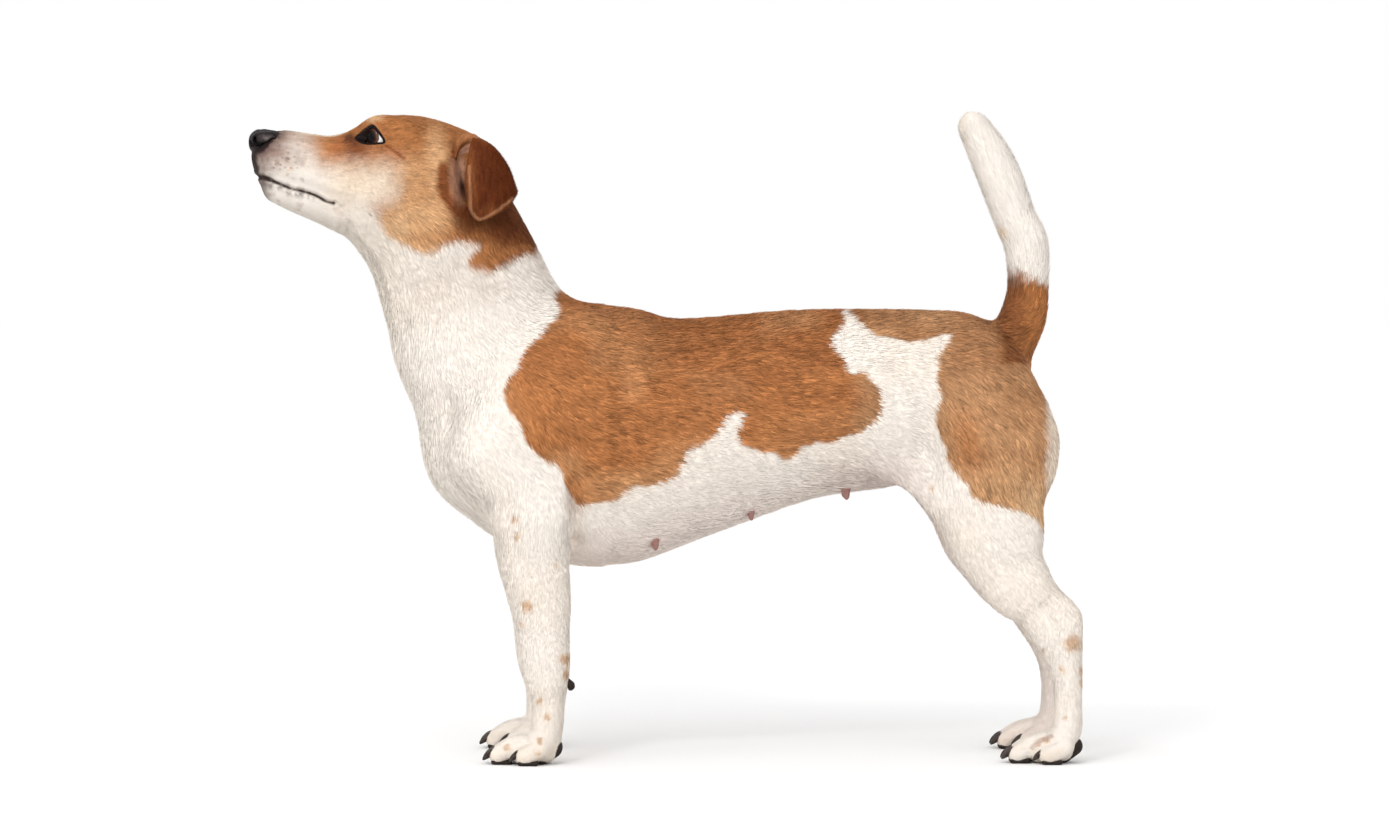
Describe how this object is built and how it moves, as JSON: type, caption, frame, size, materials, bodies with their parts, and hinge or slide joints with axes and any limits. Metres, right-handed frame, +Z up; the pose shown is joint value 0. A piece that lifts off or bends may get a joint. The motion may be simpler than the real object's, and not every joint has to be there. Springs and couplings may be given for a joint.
{
  "type": "standing terrier dog",
  "caption": "Life-size still model of a short-coated white and tan terrier that stands square with its head and tail raised.",
  "frame": {"origin": "floor level under the middle of the bounding box", "axes": "+Z up; the dog faces -X and its left side is towards -Y"},
  "size_m": [0.4956, 0.1344, 0.3877],
  "materials": {
    "coat_tan": "short smooth tan hair",
    "coat_white": "short smooth white hair",
    "nose_leather": "moist pebbled black skin",
    "pad_leather": "dry rough black skin",
    "eye": "wet dark brown eye",
    "claw": "dark horn"
  },
  "bodies": {
    "root": {"trunk": "coat_tan", "head": "coat_tan", "ear_left": "coat_tan", "ear_right": "coat_tan", "shoulder_left": "coat_tan", "shoulder_right": "coat_tan", "thigh_left": "coat_tan", "thigh_right": "coat_tan", "neck": "coat_white", "tail": "coat_white", "jaw": "coat_white", "foreleg_left": "coat_white", "foreleg_right": "coat_white", "shank_left": "coat_white", "shank_right": "coat_white", "hock_left": "coat_white", "hock_right": "coat_white", "forepaw_left": "coat_white", "forepaw_right": "coat_white", "hindpaw_left": "coat_white", "hindpaw_right": "coat_white", "nose": "nose_leather", "forepad_left": "pad_leather", "forepad_right": "pad_leather", "hindpad_left": "pad_leather", "hindpad_right": "pad_leather", "wristpad_left": "pad_leather", "wristpad_right": "pad_leather", "eye_left": "eye", "eye_right": "eye", "foreclaw_1_left": "claw", "foreclaw_1_right": "claw", "foreclaw_2_left": "claw", "foreclaw_2_right": "claw", "foreclaw_3_left": "claw", "foreclaw_3_right": "claw", "foreclaw_4_left": "claw", "foreclaw_4_right": "claw", "hindclaw_1_left": "claw", "hindclaw_1_right": "claw", "hindclaw_2_left": "claw", "hindclaw_2_right": "claw", "hindclaw_3_left": "claw", "hindclaw_3_right": "claw", "hindclaw_4_left": "claw", "hindclaw_4_right": "claw"}
  },
  "joints": []
}
